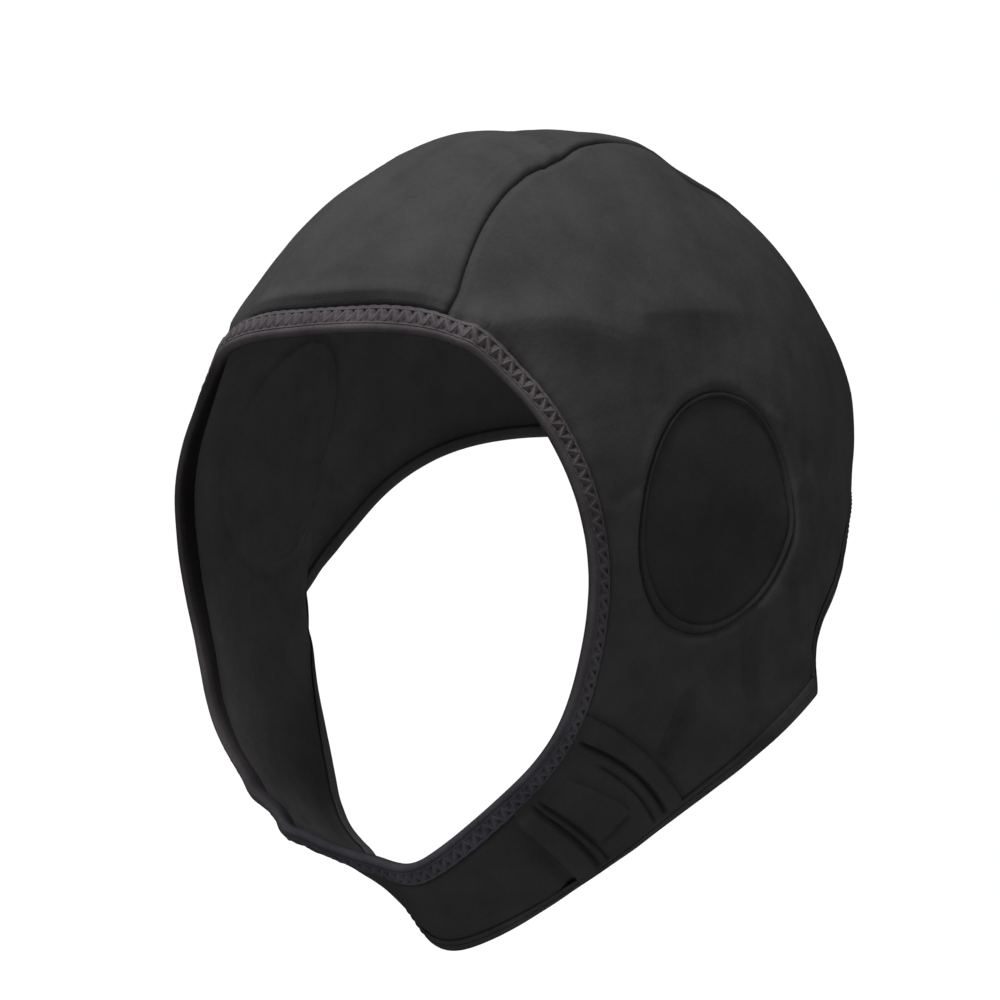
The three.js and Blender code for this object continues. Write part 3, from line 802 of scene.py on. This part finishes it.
def crown_piece():
    rib, along = panel_grid(lambda t: right_seam(t) - ROUND, left_seam, 76, 230, 1.6)
    points, outward = cloth_frame(rib, along)
    lift = binding_tuck(rib, along)
    for seam in (left_seam(along), right_seam(along) - ROUND):
        near = rib_distance(rib, along, seam)
        lift += seam_dip(near, along * SIDE_RUN, 1.1, 0.45, 0.2) + ridges(near, BESIDE_CROWN_SEAM)
    cloth_piece("centre_cloth", "centre_panel", PANEL_CLOTH, points, two_faces(points, outward, lift),
                paler=np.ones_like)


crown_piece()

SIDE_RIBS = {1: (2.0, 5.2), -1: (10.8, 14.0)}  # ribs that each ear lies between


def find_on_side(targets, side):
    """Rib and along of the points of one side whose y and z are the targets."""
    rib, along = np.meshgrid(np.linspace(*SIDE_RIBS[side], 90), np.linspace(0.03, 0.97, 90), indexing="ij")
    rib, along = rib.ravel(), along.ravel()
    seen = surface(rib, along)[:, 1:]
    start = [((seen - target) ** 2).sum(1).argmin() for target in targets]
    u, t = rib[start], along[start]
    for _ in range(6):
        off = surface(u, t)[:, 1:] - targets
        by_u = (surface(u + NUDGE, t)[:, 1:] - off - targets) / NUDGE
        by_t = (surface(u, t + NUDGE)[:, 1:] - off - targets) / NUDGE
        spread = by_u[:, 0] * by_t[:, 1] - by_u[:, 1] * by_t[:, 0]
        u = u - (off[:, 0] * by_t[:, 1] - off[:, 1] * by_t[:, 0]) / spread
        t = t - (by_u[:, 0] * off[:, 1] - by_u[:, 1] * off[:, 0]) / spread
    return u, t


EAR_SECTORS, EAR_RINGS = 150, 22  # round the oval, and from its middle to its groove
EAR_GROOVE_WIDTH = 0.5
EAR_GROOVE = ((0.75, -1.3), (0.5, -1.25), (0.2, -0.7), (0.0, -0.42))  # share inward, lift
EAR_LIP = ((0.35, -0.2), (0.7, -0.22), (1.0, -0.5))  # share outward, lift
EAR_FLANGE = ((0.25, -1.3, -1.55), (0.7, -1.3, -1.42))  # millimetres outward, lift, lift below


def ear_rings(angle):
    """Rings round the ear as shares of its oval, with their lifts above and below: a taut middle,
    a sewn groove, a folded lip that is widest at the lower front, and a flange."""
    lip = 0.8 + 1.3 * near_angle(angle, LOWEST_FRONT, 0.85)
    seam = 1 - (lip + EAR_GROOVE_WIDTH) / EAR_RADIUS
    rings = []
    for share in np.arange(1, EAR_RINGS + 1) / EAR_RINGS:
        rings.append((seam * share, 0.25 * math.cos(share * 1.5) - 0.75 - 0.45 * share**6, EAR_INSIDE))
    for inward, lift in EAR_GROOVE:
        rings.append((seam + EAR_GROOVE_WIDTH * (1 - inward) / EAR_RADIUS, lift, EAR_INSIDE))
    for share, lift in EAR_LIP:
        rings.append((seam + (EAR_GROOVE_WIDTH + (lip - 0.1) * share) / EAR_RADIUS, lift, EAR_INSIDE))
    for outward, lift, under in EAR_FLANGE:
        rings.append((1 + outward / EAR_RADIUS, lift, under))
    rows = [np.broadcast_arrays(*ring, angle)[:3] for ring in rings]
    return np.moveaxis(np.array(rows), 1, 0)


def disc_faces(rings, sectors):
    """Faces of a closed disc: a hub point and rings of points on top, and the same below."""
    count = 1 + rings * sectors
    step = np.arange(sectors)
    turned = (step + 1) % sectors
    ring = np.arange(rings - 1)[:, None] * sectors + 1
    here, there = ring + step, ring + turned
    faces = np.stack([here, here + sectors, there + sectors, there], -1).reshape(-1, 4)
    hub = np.stack([0 * step, here[0], there[0]], 1)
    last = (rings - 1) * sectors + 1
    wall = np.stack([last + step, last + step + count, last + turned + count, last + turned], 1)
    return [faces, faces[:, ::-1] + count, wall, hub, hub[:, ::-1] + count]


def with_hub(middle, rings):
    return np.concatenate([[middle], rings.ravel()])


def ear_piece(name, node, side):
    """Thin cloth in the oval."""
    angle = np.linspace(0, 2 * math.pi, EAR_SECTORS, endpoint=False)
    radius, lift, under = ear_rings(angle)
    shorter, longer = radius * EAR_LENGTH * np.cos(angle), radius * EAR_HEIGHT * np.sin(angle)
    y = EAR_MIDDLE[side] + shorter * math.cos(EAR_TILT) - longer * math.sin(EAR_TILT)
    z = EAR_Z + shorter * math.sin(EAR_TILT) + longer * math.cos(EAR_TILT)
    targets = np.stack([with_hub(EAR_MIDDLE[side], y), with_hub(EAR_Z, z)], 1)
    points, outward = cloth_frame(*find_on_side(targets, side))
    base = relief(points)
    outer = raised(points, outward, base + with_hub(lift[0, 0], lift))
    inner = raised(points, outward, base + with_hub(under[0, 0], under))
    # The inner face takes the paler second tones, painted fill light; the outer face is a little paler
    # towards its rim
    paler = with_hub(0, 0.1 * np.clip(radius, 0, 1) ** 4)
    tone = np.concatenate([paler, np.ones(len(inner))])
    new_piece(name, np.concatenate([outer, inner]), disc_faces(*radius.shape), EAR_CLOTH, (node,),
              np.tile(targets, (2, 1)), tone)


ear_piece("left_ear_cloth", "left_ear_panel", 1)
ear_piece("right_ear_cloth", "right_ear_panel", -1)


# Bindings
def ring_stations(edge, count):
    """Ribs at equal steps along an edge of the hood, with the edge's length."""
    rib = np.linspace(0, ROUND, 6001)
    length = path_length(surface(rib, edge))
    return np.interp(np.linspace(0, length[-1], count, endpoint=False), length, rib), length[-1]


# Round a binding's section: millimetres in from the edge, and out from the cloth. The first
# part is its outer layer, then the rolled edge, then its inner layer.
FACE_SECTION = [(5.72, 0.02), (5.6, 0.42), (5.3, 0.58), (4.95, 0.5), (4.5, 0.68), (3.9, 0.76), (3.3, 0.8),
                (2.7, 0.76), (2.1, 0.66), (1.7, 0.5), (1.4, 0.6), (1.0, 0.8), (0.6, 0.66), (0.2, 0.2),
                (0.0, -0.8), (0.2, -1.7), (0.7, -2.25), (1.6, -2.4), (3.2, -2.36), (4.8, -2.4),
                (5.4, -2.3), (5.55, -1.95), (5.3, -1.7), (3.5, -1.62), (2.2, -1.6), (1.7, -1.2),
                (1.7, -0.5), (2.2, -0.1), (3.5, -0.06), (5.3, -0.1)]
NECK_SECTION = [(3.9, 0.0), (3.78, 0.36), (3.5, 0.5), (3.0, 0.42), (2.5, 0.6), (1.9, 0.68), (1.4, 0.6),
                (0.9, 0.7), (0.4, 0.5), (0.1, 0.0), (0.0, -0.8), (0.15, -1.6), (0.6, -2.1), (1.6, -2.2),
                (2.9, -2.18), (3.5, -2.1), (3.6, -1.8), (3.3, -1.62), (2.4, -1.6), (1.5, -1.5),
                (1.3, -1.1), (1.3, -0.5), (1.6, -0.12), (2.6, -0.08), (3.5, -0.1)]
STITCH, NECK_STITCH = 3.6, 2.6  # lengths of one zigzag and one lock stitch
FACE_STATIONS, NECK_STATIONS = 1760, 1300


def ring_faces(stations, around):
    i, j = np.arange(stations)[:, None], np.arange(around)[None, :]
    k, m = (i + 1) % stations, (j + 1) % around
    return np.stack([i * around + j, k * around + j, k * around + m, i * around + m], -1).reshape(-1, 4)


def binding_ring(name, node, edge, section, stations, reach, shape, cloth_kind):
    rib, length = ring_stations(edge, stations)
    share = evened(edge_share(rib, edge), reach, "wrap")
    if edge == 0:
        share = share * brow_width(rib)
    run = np.arange(stations) * length / stations
    inward, lift = np.array(section).T
    inner = np.tile(ease(-lift, 0.2, 1.4), stations)
    # Where the rolled edge's underside gets painted shade
    rolled = np.tile(0.3 * (inward < 1.2) * (lift > -1.0), stations)
    inward, lift = shape(run[:, None] / length, length, inward[None, :], lift[None, :])
    along = np.abs(edge - inward * share[:, None])
    points = cloth(rib[:, None], along, lift)
    weave = np.stack([run[:, None] + 0 * inward, inward - lift], -1).reshape(-1, 2)
    # The neck binding's inner layer takes its paler second tones, painted fill light for the inside
    tone, painted_shade = inner, None
    if edge == 0:
        tone = np.repeat(binding_tone(rib), len(section))
        right = np.repeat(ease(rib, 10, 11.5) * ease_off(rib, 13.6, 14.6), len(section))
        # Painted shade: the face binding's inner layer and the underside of its rolled edge are painted
        # darker, more so along the right side
        painted_shade = np.maximum((0.6 + 0.2 * right) * inner, rolled * (tone + 1.8 * right))
    new_piece(name, points.reshape(-1, 3), ring_faces(stations, len(section)), cloth_kind, (node,),
              weave, tone, 70, painted_shade)


def binding_tone(rib):
    """0 over the brow and down the right side, 1 down the left cheek, where it looks bluer."""
    return ease(rib, 3.0, 6.0) * ease_off(rib, 8.5, 10.0)


ZIGZAG_MIDDLE, ZIGZAG_REACH = 3.3, 1.45  # of the cover stitch, from the face edge
PIT_REACH = 0.8  # the pits in its loops lie this far from its middle


def face_shape(share, length, inward, lift):
    """The stitched band: a scalloped inner edge, and a pit in each loop of the zigzag."""
    turn = 2 * math.pi * share * round(length / STITCH)
    outer = (lift > 0) & (inward > 0.9)
    scallop = np.where(inward > 5.2, 0.16 * np.abs(np.sin(turn / 2 + 0.4)), 0)
    low = ridge_at(inward, ZIGZAG_MIDDLE - PIT_REACH, 0.6) * np.maximum(np.sin(turn), 0) ** 3
    high = ridge_at(inward, ZIGZAG_MIDDLE + PIT_REACH, 0.6) * np.maximum(-np.sin(turn), 0) ** 3
    bed = 0.22 * ridge_at(inward, ZIGZAG_MIDDLE, 1.3)
    return inward + scallop, lift + np.where(outer, bed - low - high, 0)


def neck_shape(share, length, inward, lift):
    """The lock-stitched band: a pit at each stitch."""
    outer = (lift > 0) & (inward > 0.3)
    turn = 2 * math.pi * share * round(length / NECK_STITCH)
    pit = ridge_at(inward, 2.3, 0.6) * np.maximum(np.cos(turn), 0) ** 3
    return inward + 0 * share, lift + np.where(outer, -0.25 * pit, 0)


binding_ring("face_binding_elastic", "face_binding", 0, FACE_SECTION, FACE_STATIONS, 4, face_shape,
             BINDING)
binding_ring("neck_binding_elastic", "neck_binding", 1, NECK_SECTION, NECK_STATIONS, 6, neck_shape,
             HEM)


# Threads
def thread(name, rib, along, lift, radius, cloth_kind, tone, sides=6):
    """A round thread along a closed line, its section upright to the cloth."""
    points, outward = cloth_frame(rib, along)
    points = raised(points, outward, relief(points) + lift)
    tangent = unit(np.roll(points, -1, 0) - np.roll(points, 1, 0))
    across = unit(np.cross(tangent, outward))
    upward = unit(np.cross(across, tangent))
    angle = np.arange(sides)[:, None] * 2 * math.pi / sides
    circle = across[:, None] * np.cos(angle) + upward[:, None] * np.sin(angle)
    body = points[:, None] + np.broadcast_to(radius, len(points))[:, None, None] * circle
    run = path_length(points)
    weave = np.stack([np.repeat(run, sides), np.tile(np.arange(sides) * 0.3, len(run))], 1)
    new_piece(name, body.reshape(-1, 3), ring_faces(len(run), sides), cloth_kind, (), weave,
              np.repeat(tone, sides), sharp=180)


def stitch_line(edge, stitch, per_stitch, reach):
    """Points of a row of stitches round an edge: their turns, counted in stitches, their ribs, and
    the edge's share for a millimetre there."""
    samples = 6000
    rib, length = ring_stations(edge, samples)
    share = evened(edge_share(rib, edge), reach, "wrap")
    count = round(length / stitch) * per_stitch
    at, known = np.arange(count) / count * samples, np.arange(samples + 1)
    place = np.interp(at, known, np.append(rib, ROUND))
    return np.arange(count) / per_stitch, place, np.interp(at, known, np.append(share, share[0]))


def cover_stitch():
    """A zigzag between two border chains, round the face binding."""
    turns, place, width = stitch_line(0, STITCH, 12, 12)
    width = width * brow_width(place)
    wave = 2 / math.pi * np.arcsin(0.985 * np.sin(2 * math.pi * turns))
    inward = ZIGZAG_MIDDLE + ZIGZAG_REACH * wave
    lift = 0.72 - 0.14 * np.abs(wave) ** 3
    tone = binding_tone(place)
    thread("binding_zigzag", place, inward * width, lift, 0.5, THREAD, tone)
    chain = 0.3 + 0.1 * np.abs(np.sin(math.pi * turns * 2))
    for label, inward_at, height in (("inner", 4.95, 0.52), ("outer", 1.62, 0.56)):
        thread(f"binding_border_{label}", place, inward_at * width, height, chain, THREAD, tone, sides=5)


cover_stitch()


def neck_stitch():
    """Small lock stitches along the middle of the neck binding."""
    turns, place, width = stitch_line(1, NECK_STITCH, 8, 28)
    lift = 0.52 + 0.2 * np.abs(np.sin(math.pi * turns))
    thread("neck_stitch", place, 1 - 2.4 * width, lift, 0.17, DARK_THREAD, binding_tone(place), sides=5)


neck_stitch()


# Chin strap and closure
BESIDE_TAB = 0.06  # ribs from the tab's free end to where the strap sags beside it
PAST_SAG = 0.16  # ribs from there to the ridge past it


def strap_piece():
    rib, along = panel_grid(at_rib(PANEL_END + 0.02), at_rib(STRAP_SEAM), 170, 60)
    points, outward = cloth_frame(rib, along)
    lift = binding_tuck(rib, along)
    lift += seam_dip(rib_distance(rib, along, STRAP_SEAM), along * STRAP_RUN, 1.0)
    sag_rib = TAB_BOTTOM + BESIDE_TAB
    lift -= ridge_at(rib, sag_rib, 0.06) * ease(along, 0.25, 0.6)
    lift += 0.7 * ridge_at(rib, sag_rib + PAST_SAG, 0.09) * np.sin(math.pi * along)
    cloth_piece("strap_cloth", "chin_strap", STRAP_CLOTH, points, two_faces(points, outward, lift))


strap_piece()

# Lines sewn across the tab: millimetres down it at the face edge, how much further down at the
# neck edge, width and height
TAB_LINES = (
    (6.0, 0, 0.4, -0.55),
    (7.4, 0.6, 0.9, 0.42),
    (25.7, 0, 0.4, -0.5),
    (26.9, 0, 0.7, 0.34),
    (27.6, 1.2, 0.4, -0.5),
)
TAB_HEM, TAB_FOOT_HEM, HEM_SLANT = 5.4, 28.3, 1.2  # where the hems at its two ends stop
HEM_HEIGHT, HEM_SOFTNESS = 0.75, 0.35
BOX_TOP, BOX_SLANT, BOX_FOOT = 14.9, 2.6, 25.0  # the stitched box's reach down the tab
BOX_SIDE = 0.62  # the share across it where the box ends
TAB_STRENGTH = 1.7  # of the tab's relief


def tab_height(down, share):
    """The tab's sewn relief: millimetres down from its top, and the share across it."""
    hems = ease_off(down, TAB_HEM - HEM_SOFTNESS, TAB_HEM + HEM_SOFTNESS)
    foot = down - HEM_SLANT * share
    hems += ease(foot, TAB_FOOT_HEM - HEM_SOFTNESS, TAB_FOOT_HEM + HEM_SOFTNESS)
    height = HEM_HEIGHT * hems
    for start, slant, width, rise in TAB_LINES:
        height += rise * ridge_at(down - slant * share, start, width)
    height -= 0.5 * ridge_at(down - 0.8 * share, 9.1, 0.4) * ease(share, 0.15, 0.3)
    box_down = (down - (BOX_TOP - BOX_SLANT * share)) * (BOX_FOOT - down)
    inside = ease(box_down, 0.0, 7.0) * ease(share, 0.06, 0.1) * ease_off(share, BOX_SIDE, BOX_SIDE + 0.05)
    rim = ridge_at(share, 0.625, 0.028) * ease(box_down, 0.0, 8.0)
    rim += 0.7 * ridge_at(down + BOX_SLANT * share, BOX_TOP + 1, 0.8) * ease_off(share, 0.6, 0.66)
    beside = ridge_at(share, 0.7, 0.03) * ease(down, 14, 16) * ease_off(down, 23, 25)
    height += 0.5 * inside + 0.42 * rim - 0.585 * beside
    soft = 0.14 * np.sin(down * 0.8 + share * 5) * np.sin(share * 11 + down * 0.31 + 0.7)
    return TAB_STRENGTH * height + soft


TAB_EDGES = (5.35, 3.6)  # how far the tab stops short of the face edge and the neck edge
TAB_CLOTH = 1.1


def tab_piece():
    """Lies over the end of the left side and the strap, with its edges drawn down and its foot
    lifted a little."""
    across, down_count = 150, 96
    middle = down_count // 2
    rib, along, share = patch_grid((TAB_TOP, TAB_BOTTOM), across, down_count, *TAB_EDGES)
    points, outward = cloth_frame(rib, along)
    down = path_length(surface(rib[:, middle], along[:, middle]))[:, None] + 0 * share
    width = np.linalg.norm(np.diff(points, axis=1), axis=-1).sum(1)[:, None]
    from_edge = np.minimum(share, 1 - share) * width
    under = 0.12 + ease(rib, TAB_TOP, PANEL_END + 0.07) * ease(from_edge, 0, 4.0)
    flap = 0.7 * ridge_at(share, 0.84, 0.14) * ease(down, 31.5, 34.7)
    thickness = TAB_CLOTH * (0.45 + 0.55 * ease(from_edge, 0, 1.6))
    from_end = np.minimum(down, down.max() - down)
    relieved = tab_height(down, share) * ease(from_edge, 0, 3.4) - 0.55 * ease_off(from_end, 0, 0.9)
    base = relief(points) + under + flap
    sides = raised(points, outward, base + thickness + relieved), raised(points, outward, base)
    cloth_piece("tab_cloth", "closure_tab", STRAP_CLOTH, points, sides, paler=np.ones_like,
                weave=np.stack([down, share * width], -1))


tab_piece()

PAD_RIBS = (PANEL_END + 0.07, PANEL_END + 0.41)
PAD_EDGES = (11.9, 10.1)
PAD_TOP, PAD_UNDER = 0.95, 0.25


def pad_piece():
    rib, along, _ = patch_grid(PAD_RIBS, 24, 40, *PAD_EDGES)
    points, outward = cloth_frame(rib, along)
    sides = [raised(points, outward, relief(points) + lift) for lift in (PAD_TOP, PAD_UNDER)]
    cloth_piece("hook_pile", "hook_pad", PILE, points, sides)


pad_piece()

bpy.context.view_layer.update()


# Light and floor
MIDDLE = np.array((0, 0, -0.09))
KEY_WAY = np.array((-0.129, -0.224, 0.966))  # towards the light that the photograph shows
KEY_DISTANCE, KEY_SIZE, KEY_POWER, KEY_SPREAD = 0.9, 0.45, 2.5, math.radians(50)


def make_key_light():
    data = bpy.data.lights.new("key", "AREA")
    data.shape, data.size, data.energy, data.spread = "DISK", KEY_SIZE, KEY_POWER, KEY_SPREAD
    back = unit(KEY_WAY)
    across = unit(np.cross((0, 0, 1), back))
    new_object("key", data, across, np.cross(back, across), back, MIDDLE + KEY_DISTANCE * KEY_WAY)


make_key_light()
FLOOR_DROP, FLOOR_SIZE = -1.2, 12.0


def make_floor():
    bpy.ops.mesh.primitive_plane_add(size=FLOOR_SIZE, location=(0, 0, FLOOR_DROP))
    floor = bpy.context.object
    floor.name = "floor"
    material, _, shader = new_material("floor")
    shader.inputs["Base Color"].default_value = (0.9, 0.9, 0.9, 1)
    shader.inputs["Roughness"].default_value = 0.9
    floor.data.materials.append(material)


make_floor()
WORLD_STRENGTH = 1.15


def make_world():
    world = bpy.data.worlds.new("studio")
    bpy.context.scene.world = world
    world.use_nodes = True
    background = world.node_tree.nodes["Background"]
    background.inputs["Color"].default_value = (1, 1, 1, 1)
    background.inputs["Strength"].default_value = WORLD_STRENGTH


make_world()
bpy.context.scene.view_settings.view_transform = "Standard"
